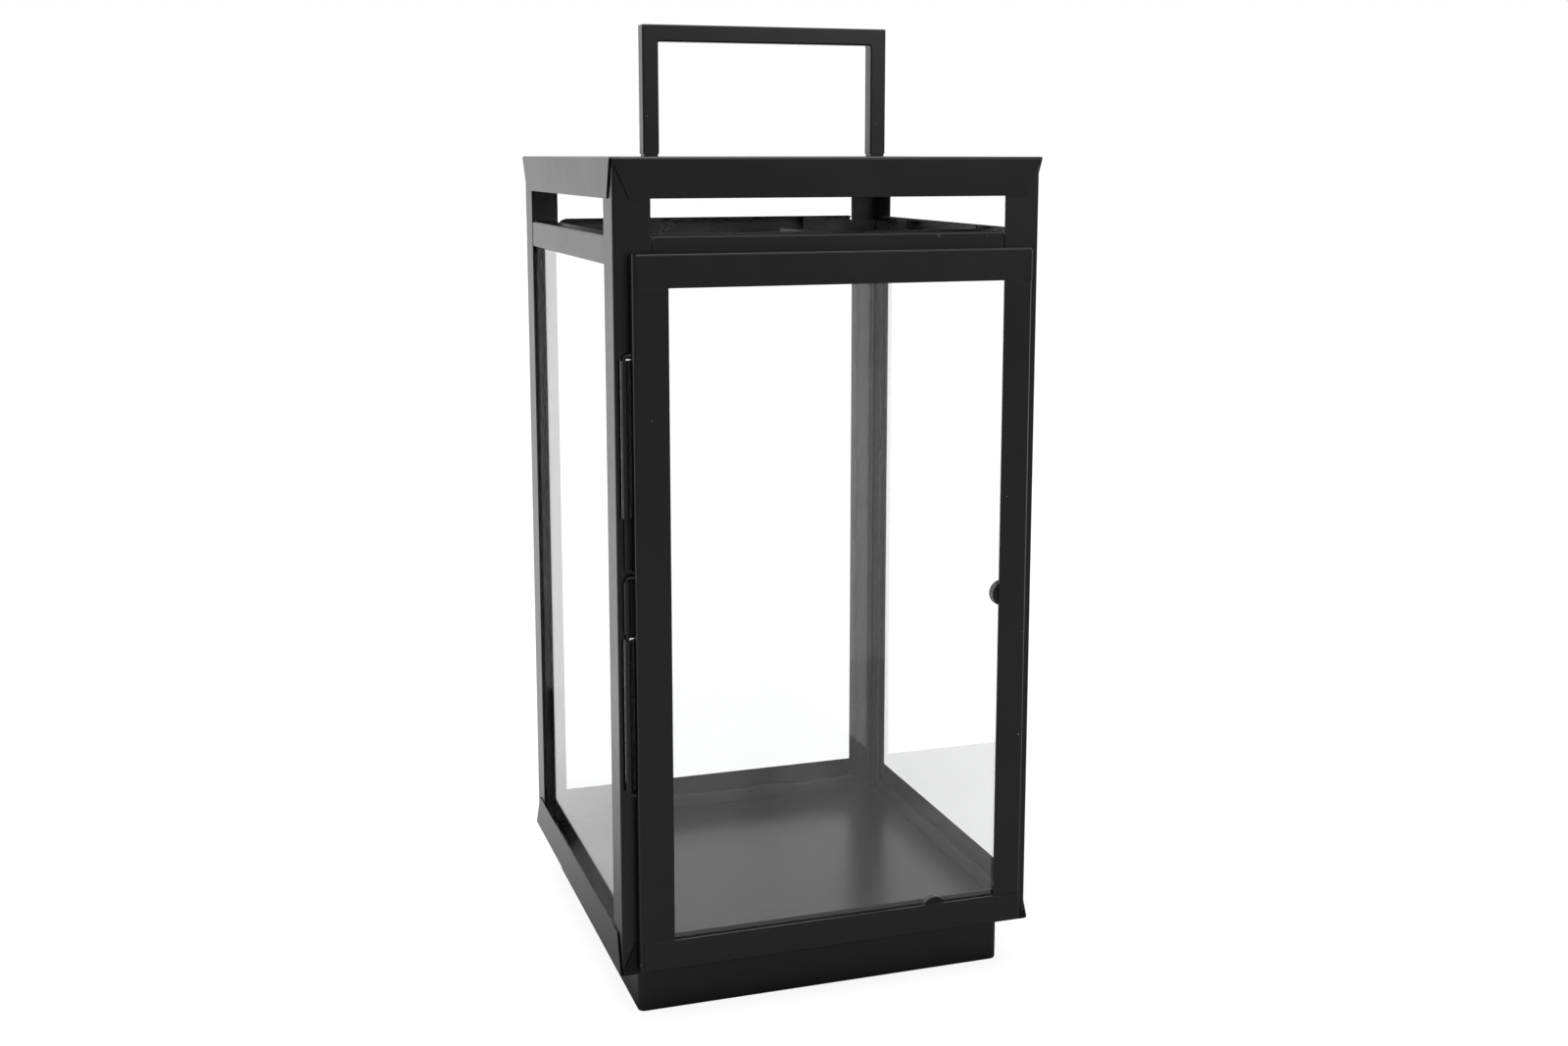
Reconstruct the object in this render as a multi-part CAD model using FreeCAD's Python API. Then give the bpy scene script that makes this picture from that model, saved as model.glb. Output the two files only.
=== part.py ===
"""A square sheet-metal candle lantern with four glazed sides, a hinged door, a plinth and a fixed handle.

Millimetres. X runs to the right along the door, Y to the back, Z up. The origin is the middle of the flat
face that the plinth stands on. Sides are designed as the front one, whose outside looks along -Y, and then
turned about Z: 90 degrees gives the right side, 180 the rear and 270 the left.
"""
import FreeCAD, Part
import math
import os

V = FreeCAD.Vector

# --- body ---------------------------------------------------------------------------------------------
BODY_WIDTH = 250.0        # across the outer faces of the posts, both ways
BODY_HEIGHT = 488.0       # floor to the top of the cap
SHEET = 0.8               # steel sheet of every folded piece
BEND = 1.4                # outer radius of a fold
TOUCH = 0.1               # gap of two sheets that lie against each other

# --- plinth and tray ----------------------------------------------------------------------------------
PLINTH_HEIGHT = 30.0
PLINTH_INSET = 12.0       # from the posts' outer faces
PLINTH_CORNER = 4.0       # radius of its upright corners
PLINTH_EDGE = 1.6         # radius of its bottom edge
PLINTH_RIM = 8.0          # rim folded inwards under the tray
TRAY_FLANGE = 22.0        # height of the tray's flange
TRAY_FLARE = 0.8          # how far the flange leans out at its fold
CAP_FLANGE = 22.0         # height of the cap's flange
CAP_FLARE = 0.7
FLANGE_SETBACK = 11.0     # slanted ends: setback at the free edge
CORNER_RELIEF = 1.0       # setback at the fold

# --- posts and rails ----------------------------------------------------------------------------------
POST_LEG = 21.0
VENT_GAP = 20.0           # open slot between the cap's flange and the rails
RAIL_HEIGHT = 16.0
RAIL_SET = 0.2            # rail face behind the post faces
RAIL_END_GAP = 1.0        # between the rail's end and the post's edge
RAIL_RISE = 1.3           # the top fold stands open by this much at its inner edge
RAIL_CORNER = 2.6         # rounded upper corners of the rail face
RAIL_LUG = 15.0           # lug behind the post
RAIL_LUG_ROOT = 4.0       # lug's lap behind the rail face
RAIL_LUG_TRIM = 2.0       # lug's setback from the rail's upper and lower edges
RAIL_LIP = 2.4            # lower fold, towards the glass
TAB_WIDTH = 18.0          # glass tabs bent down from the top fold
TAB_DROP = 8.5
TAB_PLACES = {"right": (-45.0, 66.0), "rear": (-75.0, 45.0), "left": (-66.0, 45.0)}

# --- fixed glass and its beads ------------------------------------------------------------------------
GLASS = 2.0
GLASS_SET = 4.0           # outer glass face behind the post faces
PANE_TOP_GAP = 2.5        # under the rail's top
PANE_END_GAP = 2.5        # side pane's ends from the body's outer faces
PANE_JOINT = 0.3          # rear pane to side panes
BEAD_WIDTH = 12.0         # upright beads behind the posts
BEAD_START = 6.0          # their distance from the corner's outer face
BEAD_FRONT_START = 1.0    # the same at the front corners, where the bead fills the corner
BEAD_FOOT = 10.0          # height of the bead along the tray
BEAD_FOOT_LOW = 2.0       # where that bead is thin
BEAD_ROUND = 0.9          # rounded bead edges

# --- door ---------------------------------------------------------------------------------------------
DOOR_LEFT = 8.6           # door's left edge from the body's left face
DOOR_RIGHT = 7.0          # door's right edge from the body's right face
DOOR_BOTTOM = 33.5        # above the floor
DOOR_TOP_DROP = 51.0      # its top below the cap's top
DOOR_PROUD = 8.0          # door's front before the post faces
DOOR_GAP = 2.6            # door's folds before the post faces
STILE_LEFT = 19.9         # visible widths of the frame
STILE_RIGHT = 17.5
RAIL_TOP = 18.4
RAIL_BOTTOM = 17.0
DOOR_BEND = 2.0           # outer radius of the door's folds
DOOR_SEAM = 0.3           # between a stile and a rail
DOOR_PANE_MARGIN = 4.2    # glass edge inside the door's outline
DOOR_BEAD = 0.7           # bead's height above the glass
DOOR_BEAD_LAP = 1.0       # bead's lap on the glass

# --- hinge --------------------------------------------------------------------------------------------
PIN_X = 5.0               # pin axis from the body's left face
PIN_STANDOFF = 2.05       # pin axis before the post faces
WIRE = 1.8                # wire diameter
FIT = 0.05                # radial running clearance in the sleeves
SLEEVE_LENGTH = 86.5      # each of the two sleeves on the post
SLEEVE_GAP = 68.0         # between them
HINGE_LIFT = 24.25        # middle of that gap above the door's middle
WINDOW_START = 1.7        # window behind a sleeve: from the body's left face
WINDOW_END = 9.0
WINDOW_OVER = 0.5         # window's reach past the sleeve's upper end
KNUCKLE_LENGTH = 29.0     # door's own knuckle
KNUCKLE_DROP = 1.0        # its top under the middle
ROLL_SLIT = 0.3           # where a rolled edge closes
NOTCH_HEIGHT = 6.0        # notch in the door's left fold for the two hooks
NOTCH_LIFT = 2.1          # its middle above the hinge's middle
NOTCH_DEPTH = 2.0
HOOK_BEND = 2.0           # centre-line radius of the wire's bends
HOOK_REACH = 6.2          # hooks' reach towards the door
HOOK_FORWARD = 1.4        # and towards its front
HOOK_LEAN = 1.2           # rise or fall of a hook away from the sleeves
NOTCH_HOOK_FALL = 2.6     # the upper wire slopes into the notch by this much
NOTCH_HOOK_LIFT = 0.85    # its tip above the notch's middle
SLIT_HEIGHT = 9.0         # relief slits beside the knuckle's strap
SLIT_WIDTH = 0.6

# --- magnets ------------------------------------------------------------------------------------------
MAGNET = 15.0             # diameter
MAGNET_REST = 0.2         # left between the catch magnet and the post
BOTTOM_MAGNET_REST = 0.4  # left between the bottom magnet and the tray's flange
CATCH_OVERHANG = 3.0      # how far the catch magnet shows past the stile
BOTTOM_OVERHANG = 3.6     # how far the bottom magnet shows past the rail
BOTTOM_MAGNET_X = 54.6    # from the door's right edge

# --- handle -------------------------------------------------------------------------------------------
HANDLE_SPAN = 155.0
HANDLE_RISE = 77.5        # above the cap
HANDLE_BAR = 10.0         # square tube
HANDLE_WALL = 1.2
HANDLE_ROUND = 1.0        # rounded long edges
INSERT_STANDOFF = 1.6     # neck between the cap and the leg
INSERT_NECK = 8.6         # its width
INSERT_LENGTH = 10.0
INSERT_FIT = 0.05
SCREW = 4.0
SCREW_CLEARANCE = 0.25    # radial, in the cap
SCREW_LENGTH = 9.0
SCREW_HEAD = 8.0
SCREW_HEAD_HEIGHT = 2.4
WASHER = 12.0
WASHER_THICKNESS = 1.0

# --- places that follow -------------------------------------------------------------------------------
HALF = BODY_WIDTH / 2
TRAY_FLOOR = PLINTH_HEIGHT + SHEET
CAP_UNDER = BODY_HEIGHT - SHEET
RAIL_TOP_Z = BODY_HEIGHT - CAP_FLANGE - VENT_GAP
RAIL_LOW_Z = RAIL_TOP_Z - RAIL_HEIGHT
GLASS_IN = HALF - GLASS_SET - GLASS           # inner face of the fixed glass
RAIL_DEPTH = GLASS_SET + GLASS + TOUCH + SHEET - RAIL_SET
DOOR_X0 = -HALF + DOOR_LEFT
DOOR_X1 = HALF - DOOR_RIGHT
DOOR_TOP = BODY_HEIGHT - DOOR_TOP_DROP
DOOR_MIDDLE = (DOOR_BOTTOM + DOOR_TOP) / 2
HINGE_MIDDLE = DOOR_MIDDLE + HINGE_LIFT
DOOR_FRONT = -HALF - DOOR_PROUD
DOOR_BACK = -HALF - DOOR_GAP
OPEN_X0 = DOOR_X0 + STILE_LEFT
OPEN_X1 = DOOR_X1 - STILE_RIGHT
OPEN_Z0 = DOOR_BOTTOM + RAIL_BOTTOM
OPEN_Z1 = DOOR_TOP - RAIL_TOP
FRAME_X0 = DOOR_X0 + DOOR_BEND + DOOR_SEAM    # left ends of the door's rails
PANE_FRONT = DOOR_FRONT + SHEET
PANE_BACK = PANE_FRONT + GLASS
AXIS_X = -HALF + PIN_X
AXIS_Y = -HALF - PIN_STANDOFF
BORE = WIRE / 2 + FIT
ROLL = BORE + SHEET                           # outer radius of a rolled sleeve
NOTCH_Z = HINGE_MIDDLE + NOTCH_LIFT
LEG_X = (HANDLE_SPAN - HANDLE_BAR) / 2


def block(x0, x1, y0, y1, z0, z1):
    """Axis-aligned block between two corners."""
    return Part.makeBox(x1 - x0, y1 - y0, z1 - z0, V(x0, y0, z0))


def prism(points, along):
    """Solid of a closed outline of points, pushed along a vector."""
    return Part.Face(Part.makePolygon([*points, points[0]])).extrude(along)


def upright(outline, z0, z1):
    """Prism of an outline in plan between two heights."""
    return prism([V(x, y, z0) for x, y in outline], V(0, 0, z1 - z0))


def rod(x, y, z0, z1, radius):
    """Upright round bar."""
    return Part.makeCylinder(radius, z1 - z0, V(x, y, z0))


def disc(x, y0, y1, z, radius):
    """Round disc lying across Y."""
    return Part.makeCylinder(radius, y1 - y0, V(x, y0, z), V(0, 1, 0))


def turned(shape, degrees):
    """Copy of a shape turned about the lantern's middle."""
    copy = shape.copy()
    copy.rotate(V(0, 0, 0), V(0, 0, 1), degrees)
    return copy


def merged(first, *rest):
    """One solid from several that touch, with the seams on flat faces removed."""
    return first.fuse(list(rest)).removeSplitter()


def edges_at(shape, test):
    """Edges whose two ends both pass a test."""
    return [e for e in shape.Edges if all(test(v.Point) for v in e.Vertexes)]


def near(value, target):
    return abs(value - target) < 1e-4


def folded_tray(sheet_z, way, height, flare):
    """A flat sheet with four folded flanges; way is 1 for flanges that rise and -1 for ones that hang.

    The flanges touch the posts at their free edge, lean out by the flare at the fold, and have slanted ends,
    so that each corner shows a wedge of the post.
    """
    free = HALF + TOUCH + SHEET
    fold = free + flare
    low = sheet_z if way > 0 else sheet_z + SHEET
    tip = low + way * height
    inner = low + way * SHEET
    strip = 4 * BEND
    profile = [(-fold, low), (-free, tip), (-free + SHEET, tip), (-fold + SHEET, inner),
               (-fold + strip, inner), (-fold + strip, low)]
    side = prism([V(-fold, y, z) for y, z in profile], V(2 * fold, 0, 0))
    side = side.makeFillet(BEND, edges_at(side, lambda p: near(p.y, -fold) and near(p.z, low)))
    wide = fold - CORNER_RELIEF
    narrow = fold - FLANGE_SETBACK
    ends = prism([V(-wide, -fold - 1, low), V(wide, -fold - 1, low), V(narrow, -fold - 1, tip),
                  V(-narrow, -fold - 1, tip)], V(0, strip + 1, 0))
    side = side.common(ends)
    flat = fold - BEND
    sheet = block(-flat, flat, -flat, flat, min(low, inner), max(low, inner))
    return merged(sheet, *[turned(side, a) for a in (0, 90, 180, 270)])


def make_plinth():
    """Shallow pan with rounded corners, its rim folded in under the tray."""
    half = HALF - PLINTH_INSET

    def rounded(inset, z0, z1):
        size = half - inset
        solid = block(-size, size, -size, size, z0, z1)
        corners = edges_at(solid, lambda p: near(abs(p.x), size) and near(abs(p.y), size))
        solid = solid.makeFillet(PLINTH_CORNER - inset, [e for e in corners if near(e.Length, z1 - z0)])
        return solid.makeFillet(PLINTH_EDGE - inset, edges_at(solid, lambda p: near(p.z, z0)))

    rim = half - PLINTH_RIM
    hollow = rounded(SHEET, SHEET, PLINTH_HEIGHT - SHEET)
    mouth = block(-rim, rim, -rim, rim, PLINTH_HEIGHT / 2, PLINTH_HEIGHT + 1)
    return rounded(0, 0, PLINTH_HEIGHT).cut([hollow, mouth])


def make_top_cap():
    """Lid sheet with hanging flanges and two holes for the handle's screws."""
    cap = folded_tray(CAP_UNDER, -1, CAP_FLANGE, CAP_FLARE)
    hole = SCREW / 2 + SCREW_CLEARANCE
    return cap.cut([rod(x, 0, CAP_UNDER - 1, BODY_HEIGHT + 1, hole) for x in (-LEG_X, LEG_X)])


def angle_post():
    """Plain angle post of the front left corner."""
    inner = SHEET - HALF
    outline = [(-HALF, -HALF), (POST_LEG - HALF, -HALF), (POST_LEG - HALF, inner), (inner, inner),
               (inner, POST_LEG - HALF), (-HALF, POST_LEG - HALF)]
    post = upright(outline, TRAY_FLOOR, CAP_UNDER)
    return post.makeFillet(BEND, edges_at(post, lambda p: near(p.x, -HALF) and near(p.y, -HALF)))


def rolled_sleeve(z0, z1, strap):
    """Sheet rolled round the pin axis, with the strap it is rolled from and a slit where its edge closes."""
    ring = rod(AXIS_X, AXIS_Y, z0, z1, ROLL).cut(rod(AXIS_X, AXIS_Y, z0, z1, BORE))
    slit = block(AXIS_X - ROLL, AXIS_X, AXIS_Y + BORE / 2, AXIS_Y + BORE / 2 + ROLL_SLIT, z0, z1)
    return ring.cut(slit).fuse(upright(strap, z0, z1).cut(rod(AXIS_X, AXIS_Y, z0, z1, BORE)))


def make_hinge_post():
    """Front left post: two tabs of its front leg are punched out and rolled to hinge sleeves.

    Each leaves a window behind it, open at the sleeve's left side and just above its upper end.
    """
    post = angle_post()
    back = AXIS_Y + ROLL
    root = WINDOW_END - HALF
    strap = [(AXIS_X, back - SHEET), (AXIS_X + ROLL, back - SHEET), (root, -HALF), (root, SHEET - HALF),
             (root - SHEET, SHEET - HALF), (AXIS_X + ROLL - SHEET, back), (AXIS_X, back)]
    for way in (-1, 1):
        near_end = HINGE_MIDDLE + way * SLEEVE_GAP / 2
        far_end = near_end + way * SLEEVE_LENGTH
        z0 = min(near_end, far_end)
        z1 = max(near_end, far_end)
        post = post.cut(block(WINDOW_START - HALF, root, -HALF - 1, SHEET - HALF, z0, z1 + WINDOW_OVER))
        post = post.fuse(rolled_sleeve(z0, z1, strap))
    return post.removeSplitter()


def make_rail(tabs):
    """Folded rail between two posts, with lugs behind the posts and glass tabs where it carries a pane."""
    face = RAIL_SET - HALF
    end = HALF - POST_LEG - RAIL_END_GAP
    inner = face + RAIL_DEPTH
    top = RAIL_TOP_Z
    profile = [(face, RAIL_LOW_Z), (face, top), (inner, top + RAIL_RISE), (inner, top + RAIL_RISE - SHEET),
               (face + SHEET, top - SHEET), (face + SHEET, RAIL_LOW_Z + SHEET),
               (face + SHEET + RAIL_LIP, RAIL_LOW_Z + SHEET), (face + SHEET + RAIL_LIP, RAIL_LOW_Z)]
    rail = prism([V(-end, y, z) for y, z in profile], V(2 * end, 0, 0))
    rail = rail.makeFillet(BEND, [e for e in edges_at(rail, lambda p: near(p.y, face)) if e.Length > end])
    outline = block(-end, end, face - 1, inner + 1, RAIL_LOW_Z - 1, top + RAIL_RISE)
    upper = [e for e in edges_at(outline, lambda p: p.z > top) if near(e.Length, inner - face + 2)]
    rail = rail.common(outline.makeFillet(RAIL_CORNER + RAIL_RISE, upper))
    pieces = []
    for way in (-1, 1):
        x0, x1 = sorted((way * (end - RAIL_LUG_ROOT), way * (end + RAIL_LUG)))
        lug_z = (RAIL_LOW_Z + RAIL_LUG_TRIM, top - RAIL_LUG_TRIM)
        pieces.append(block(x0, x1, SHEET - HALF, 2 * SHEET - HALF, *lug_z))
    for x in tabs:
        pieces.append(block(x - TAB_WIDTH / 2, x + TAB_WIDTH / 2, inner - SHEET, inner,
                            top + RAIL_RISE - TAB_DROP, top + RAIL_RISE - SHEET / 2))
    return merged(rail, *pieces)


def make_side_pane():
    """Right pane; it stands on the tray."""
    end = HALF - PANE_END_GAP
    return block(GLASS_IN, GLASS_IN + GLASS, -end, end, TRAY_FLOOR, RAIL_TOP_Z - PANE_TOP_GAP)


def make_rear_pane():
    """Rear pane; it fits between the side panes."""
    end = GLASS_IN - PANE_JOINT
    return block(-end, end, GLASS_IN, GLASS_IN + GLASS, TRAY_FLOOR, RAIL_TOP_Z - PANE_TOP_GAP)


def glazing_bead(thick_from, left_start):
    """Silicone of the front side: an upright bead behind each post and a foot bead along the tray.

    The foot bead is thick from thick_from to the right post and thin before that. The left upright bead
    starts at left_start from the corner's outer face.
    """
    y0 = SHEET - HALF
    y1 = GLASS_SET - HALF
    start = HALF - BEAD_START
    end = start - BEAD_WIDTH
    left = left_start - HALF
    foot = TRAY_FLOOR + BEAD_FOOT
    outline = [V(left, y0, TRAY_FLOOR), V(start, y0, TRAY_FLOOR), V(start, y0, RAIL_LOW_Z),
               V(end, y0, RAIL_LOW_Z), V(end, y0, foot), V(thick_from, y0, foot),
               V(thick_from - BEAD_FOOT, y0, TRAY_FLOOR + BEAD_FOOT_LOW),
               V(-end, y0, TRAY_FLOOR + BEAD_FOOT_LOW), V(-end, y0, RAIL_LOW_Z), V(left, y0, RAIL_LOW_Z)]
    bead = prism(outline, V(0, y1 - y0, 0))
    inner = edges_at(bead, lambda p: near(abs(p.x), end))
    return bead.makeFillet(BEAD_ROUND, [e for e in inner if e.Length > BEAD_WIDTH])


def make_stile(outer, inner, z0, z1):
    """Upright side of the door: its front face from the opening to the outer edge, folded back there."""
    way = 1 if inner > outer else -1
    outline = [(outer, DOOR_BACK), (outer, DOOR_FRONT), (inner, DOOR_FRONT), (inner, PANE_FRONT),
               (outer + way * SHEET, PANE_FRONT), (outer + way * SHEET, DOOR_BACK)]
    stile = upright(outline, z0, z1)
    return stile.makeFillet(DOOR_BEND, edges_at(stile, lambda p: near(p.x, outer) and near(p.y, DOOR_FRONT)))


def make_hinge_stile():
    """Left stile: its fold runs the full height and carries the rolled knuckle and the hooks' notch."""
    stile = make_stile(DOOR_X0, OPEN_X0, DOOR_BOTTOM, DOOR_TOP)
    trim = [block(FRAME_X0 - DOOR_SEAM, OPEN_X0 + 1, DOOR_FRONT - 1, PANE_FRONT + 1, z0, z1)
            for z0, z1 in ((DOOR_BOTTOM - 1, OPEN_Z0), (OPEN_Z1, DOOR_TOP + 1))]
    notch = block(DOOR_X0 - 1, DOOR_X0 + 2 * SHEET, DOOR_BACK - NOTCH_DEPTH, DOOR_BACK + 1,
                  NOTCH_Z - NOTCH_HEIGHT / 2, NOTCH_Z + NOTCH_HEIGHT / 2)
    top = HINGE_MIDDLE - KNUCKLE_DROP
    low = top - KNUCKLE_LENGTH
    back = AXIS_Y + ROLL
    strap = [(AXIS_X, back - SHEET), (DOOR_X0, back - SHEET), (DOOR_X0, DOOR_BACK),
             (DOOR_X0 + SHEET, DOOR_BACK), (DOOR_X0 + SHEET, back), (AXIS_X, back)]
    slit_y = DOOR_BACK - NOTCH_DEPTH
    slits = [block(DOOR_X0 - 1, DOOR_X0 + 2 * SHEET, slit_y - SLIT_WIDTH, slit_y, z0, z0 + SLIT_HEIGHT)
             for z0 in (low, top - SLIT_HEIGHT, HINGE_MIDDLE + SLEEVE_GAP / 2)]
    holes = [hook_hole(z) for z in hook_heights()]
    stile = stile.cut([*trim, notch, *slits, *holes])
    return merged(stile, rolled_sleeve(low, top, strap))


def hook_heights():
    """Heights at which the wires' outer ends enter the door: just past the sleeves' outer ends."""
    reach = SLEEVE_GAP / 2 + SLEEVE_LENGTH + HOOK_BEND
    return HINGE_MIDDLE + reach, HINGE_MIDDLE - reach


def hook_hole(z):
    """Bore along the wire's outer hook, for the door's left fold."""
    start = V(AXIS_X, AXIS_Y, z)
    return Part.makeCylinder(BORE, 2 * HOOK_REACH, start, hook_tip(z) - start)


def wire_along(points, radius):
    """Round wire along straight runs joined by arcs of one radius."""
    edges = []
    start = points[0]
    for before, corner, after in zip(points, points[1:], points[2:]):
        arrive = (corner - before).normalize()
        leave = (after - corner).normalize()
        half = arrive.getAngle(leave) / 2
        cut = radius * math.tan(half)
        first = corner - arrive * cut
        last = corner + leave * cut
        middle = corner + (leave - arrive).normalize() * radius * (1 / math.cos(half) - 1)
        edges.append(Part.LineSegment(start, first).toShape())
        edges.append(Part.Arc(first, middle, last).toShape())
        start = last
    edges.append(Part.LineSegment(start, points[-1]).toShape())
    section = Part.Wire(Part.makeCircle(WIRE / 2, points[0], points[1] - points[0]))
    return Part.Wire(edges).makePipeShell([section], True, False)


def hook_tip(z):
    """Tip, inside the door, of an outer hook that leaves the pin axis at height z and leans outwards."""
    lean = HOOK_LEAN if z > HINGE_MIDDLE else -HOOK_LEAN
    return V(AXIS_X + HOOK_REACH, AXIS_Y - HOOK_FORWARD, z + lean)


def make_upper_wire():
    """Upper pin: hooked into the door above its sleeve, and sloping into the notch below it."""
    high = hook_heights()[0]
    tip = V(AXIS_X + HOOK_REACH, AXIS_Y - HOOK_FORWARD, NOTCH_Z + NOTCH_HOOK_LIFT)
    low = tip.z + NOTCH_HOOK_FALL
    return wire_along([hook_tip(high), V(AXIS_X, AXIS_Y, high), V(AXIS_X, AXIS_Y, low), tip], HOOK_BEND)


def make_lower_wire():
    """Lower pin: through the door's knuckle and the lower sleeve, hooked at both ends."""
    low = hook_heights()[1]
    high = HINGE_MIDDLE - KNUCKLE_DROP + HOOK_BEND
    tip = V(AXIS_X + HOOK_REACH, AXIS_Y - HOOK_FORWARD, high)
    return wire_along([tip, V(AXIS_X, AXIS_Y, high), V(AXIS_X, AXIS_Y, low), hook_tip(low)], HOOK_BEND)


def make_door_rail(edge, opening):
    """Top or bottom of the door, from the left stile's fold on; folded back at its edge and right end."""
    z0, z1 = sorted((edge, opening))
    way = 1 if edge > opening else -1
    rail = block(FRAME_X0, DOOR_X1, DOOR_FRONT, DOOR_BACK, z0, z1)
    hollow = block(FRAME_X0 - 1, DOOR_X1 - SHEET, PANE_FRONT, DOOR_BACK + 1,
                   *sorted((edge - way * SHEET, opening - way)))
    rail = rail.makeFillet(DOOR_BEND, edges_at(rail, lambda p: near(p.x, DOOR_X1) and near(p.z, edge)))
    front = [e for e in edges_at(rail, lambda p: near(p.y, DOOR_FRONT))
             if e.BoundBox.ZMax > z0 + 1e-4 and not near(e.BoundBox.XMax, FRAME_X0)
             and not (near(e.BoundBox.ZMin, opening) and near(e.BoundBox.ZMax, opening))]
    outer = [e for e in front if near(e.BoundBox.ZMin, edge) or near(e.BoundBox.ZMax, edge)
             or near(e.BoundBox.XMin, DOOR_X1)]
    return rail.makeFillet(DOOR_BEND - SHEET, outer).cut(hollow)


def pane_box(margin, y0, y1):
    """Block in the door whose edges keep a margin from the door's outline."""
    return block(DOOR_X0 + margin, DOOR_X1 - margin, y0, y1, DOOR_BOTTOM + margin, DOOR_TOP - margin)


def make_door_pane():
    """Glass of the door, against the back of its frame."""
    return pane_box(DOOR_PANE_MARGIN, PANE_FRONT, PANE_BACK)


def make_door_bead():
    """Bead round the edge of the door's glass, lapping onto it."""
    back = PANE_BACK + DOOR_BEAD
    margin = FRAME_X0 - DOOR_X0
    window = pane_box(DOOR_PANE_MARGIN + DOOR_BEAD_LAP, PANE_FRONT - 1, back + 1)
    return pane_box(margin, PANE_FRONT, back).cut([make_door_pane(), window])


def make_catch_magnet():
    """Disc behind the right stile at the middle of the door; it closes against the post."""
    x = OPEN_X1 - CATCH_OVERHANG + MAGNET / 2
    return disc(x, PANE_BACK, -HALF - MAGNET_REST, DOOR_MIDDLE, MAGNET / 2)


def make_bottom_magnet():
    """Thinner disc behind the bottom rail; it closes against the tray's flange."""
    flange = HALF + TOUCH + SHEET + TRAY_FLARE
    z = OPEN_Z0 + BOTTOM_OVERHANG - MAGNET / 2
    rest = -flange - BOTTOM_MAGNET_REST + TRAY_FLARE / 2
    return disc(DOOR_X1 - BOTTOM_MAGNET_X, PANE_BACK, rest, z, MAGNET / 2)


def handle_form(inset, low):
    """Inverted U of square section, made smaller by an inset on every side, down to a height."""
    half = HANDLE_BAR / 2 - inset
    outer = HANDLE_SPAN / 2 - inset
    inner = HANDLE_SPAN / 2 - HANDLE_BAR + inset
    top = BODY_HEIGHT + HANDLE_RISE - inset
    under = BODY_HEIGHT + HANDLE_RISE - HANDLE_BAR + inset
    outline = [(-outer, low), (-outer, top), (outer, top), (outer, low), (inner, low), (inner, under),
               (-inner, under), (-inner, low)]
    return prism([V(x, -half, z) for x, z in outline], V(0, 2 * half, 0))


def make_handle():
    """Square tube with mitred corners; its legs end a little above the cap."""
    low = BODY_HEIGHT + INSERT_STANDOFF
    tube = handle_form(0, low)
    tube = tube.makeFillet(HANDLE_ROUND, [e for e in tube.Edges if not near(e.BoundBox.ZMax, low)])
    return tube.cut(handle_form(HANDLE_WALL, low - 1))


def make_handle_inserts():
    """Two threaded plugs that stand on the cap and fill the legs' ends."""
    half = HANDLE_BAR / 2 - HANDLE_WALL - INSERT_FIT
    neck = INSERT_NECK / 2
    shoulder = BODY_HEIGHT + INSERT_STANDOFF
    plugs = []
    for x in (-LEG_X, LEG_X):
        plug = block(x - half, x + half, -half, half, BODY_HEIGHT, shoulder + INSERT_LENGTH)
        plug = plug.fuse(block(x - neck, x + neck, -neck, neck, BODY_HEIGHT, shoulder))
        plugs.append(plug.cut(rod(x, 0, BODY_HEIGHT - 1, BODY_HEIGHT + SCREW_LENGTH, SCREW / 2)))
    return Part.makeCompound(plugs)


def make_handle_washers():
    """Two washers under the cap."""
    low = CAP_UNDER - WASHER_THICKNESS
    bore = SCREW / 2 + SCREW_CLEARANCE
    washers = []
    for x in (-LEG_X, LEG_X):
        hole = rod(x, 0, low - 1, CAP_UNDER + 1, bore)
        washers.append(rod(x, 0, low, CAP_UNDER, WASHER / 2).cut(hole))
    return Part.makeCompound(washers)


def make_handle_screws():
    """Two screws from below, into the inserts; their slotted heads slope in at the rim."""
    seat = CAP_UNDER - WASHER_THICKNESS
    low = seat - SCREW_HEAD_HEIGHT
    screws = []
    for x in (-LEG_X, LEG_X):
        head = rod(x, 0, low, seat, SCREW_HEAD / 2)
        head = head.makeChamfer(SCREW_HEAD_HEIGHT / 2, edges_at(head, lambda p: near(p.z, low)))
        slot_top = low + SCREW_HEAD_HEIGHT / 2
        slot = block(x - SCREW_HEAD, x + SCREW_HEAD, -SHEET / 2, SHEET / 2, low - 1, slot_top)
        shank = rod(x, 0, seat, BODY_HEIGHT + SCREW_LENGTH - 1, SCREW / 2)
        screws.append(head.cut(slot).fuse(shank))
    return Part.makeCompound(screws)


def mirrored(shape):
    """Copy of a shape mirrored from right to left."""
    return shape.mirror(V(0, 0, 0), V(1, 0, 0))


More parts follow.
